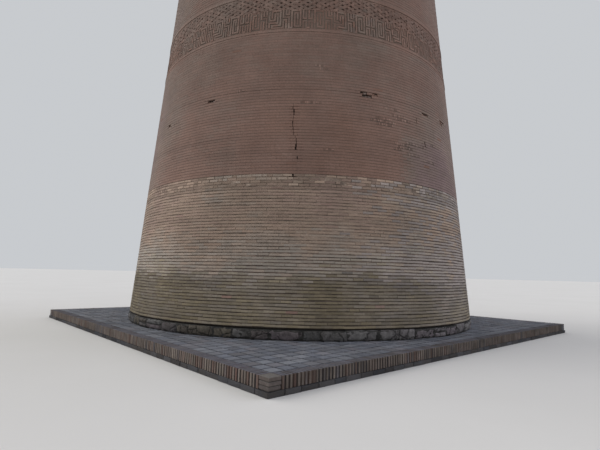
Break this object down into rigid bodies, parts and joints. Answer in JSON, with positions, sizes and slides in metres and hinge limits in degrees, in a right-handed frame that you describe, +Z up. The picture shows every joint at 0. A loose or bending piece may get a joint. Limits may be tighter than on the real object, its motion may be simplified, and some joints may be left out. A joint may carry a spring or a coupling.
{
  "type": "tapering brick minaret, 1:2 scale model",
  "caption": "Tall tapering round brick tower with ornament bands, a raised back doorway and a small broken lantern, on a square brick-edged plinth.",
  "frame": {"origin": "middle of the plinth's underside, on the tower's axis", "axes": "+Z up along the tower's axis, X and Y along the plinth's sides, the doorway faces +Y and the pictured corner is at +X -Y"},
  "size_m": [6.62, 6.62, 30],
  "materials": {
    "light_brick": "matte",
    "plain_brick": "matte",
    "ornament_brick": "matte",
    "footing_stone": "matte",
    "kerb_brick": "matte",
    "base_course": "matte",
    "paving_tile": "matte"
  },
  "bodies": {
    "root": {"plinth_base_course": "base_course", "plinth_paving": "paving_tile", "kerb_south": "kerb_brick", "kerb_east": "kerb_brick", "kerb_north": "kerb_brick", "kerb_west": "kerb_brick", "corner_block_south_east": "kerb_brick", "corner_block_north_east": "kerb_brick", "corner_block_north_west": "kerb_brick", "corner_block_south_west": "kerb_brick", "stone_footing": "footing_stone", "lower_brick_shaft": "light_brick", "plain_brick_shaft": "plain_brick", "doorway_wall": "plain_brick", "door_storey_wall_west": "plain_brick", "door_storey_wall_south": "plain_brick", "door_storey_wall_east": "plain_brick", "ornament_band_01": "ornament_brick", "plain_shaft_01": "plain_brick", "ornament_band_02": "ornament_brick", "plain_shaft_02": "plain_brick", "ornament_band_03": "ornament_brick", "plain_shaft_03": "plain_brick", "ornament_band_04": "ornament_brick", "plain_shaft_04": "plain_brick", "ornament_band_05": "ornament_brick", "plain_shaft_05": "plain_brick", "ornament_band_06": "ornament_brick", "plain_shaft_06": "plain_brick", "ornament_band_07": "ornament_brick", "plain_shaft_07": "plain_brick", "ornament_band_08": "ornament_brick", "plain_shaft_08": "plain_brick", "ornament_band_09": "ornament_brick", "plain_shaft_09": "plain_brick", "ornament_band_10": "ornament_brick", "plain_shaft_10": "plain_brick", "ornament_band_11": "ornament_brick", "plain_shaft_11": "plain_brick", "ornament_band_12": "ornament_brick", "plain_shaft_12": "plain_brick", "ornament_band_13": "ornament_brick", "corbel_ring": "ornament_brick", "lantern_drum": "plain_brick"}
  },
  "joints": []
}
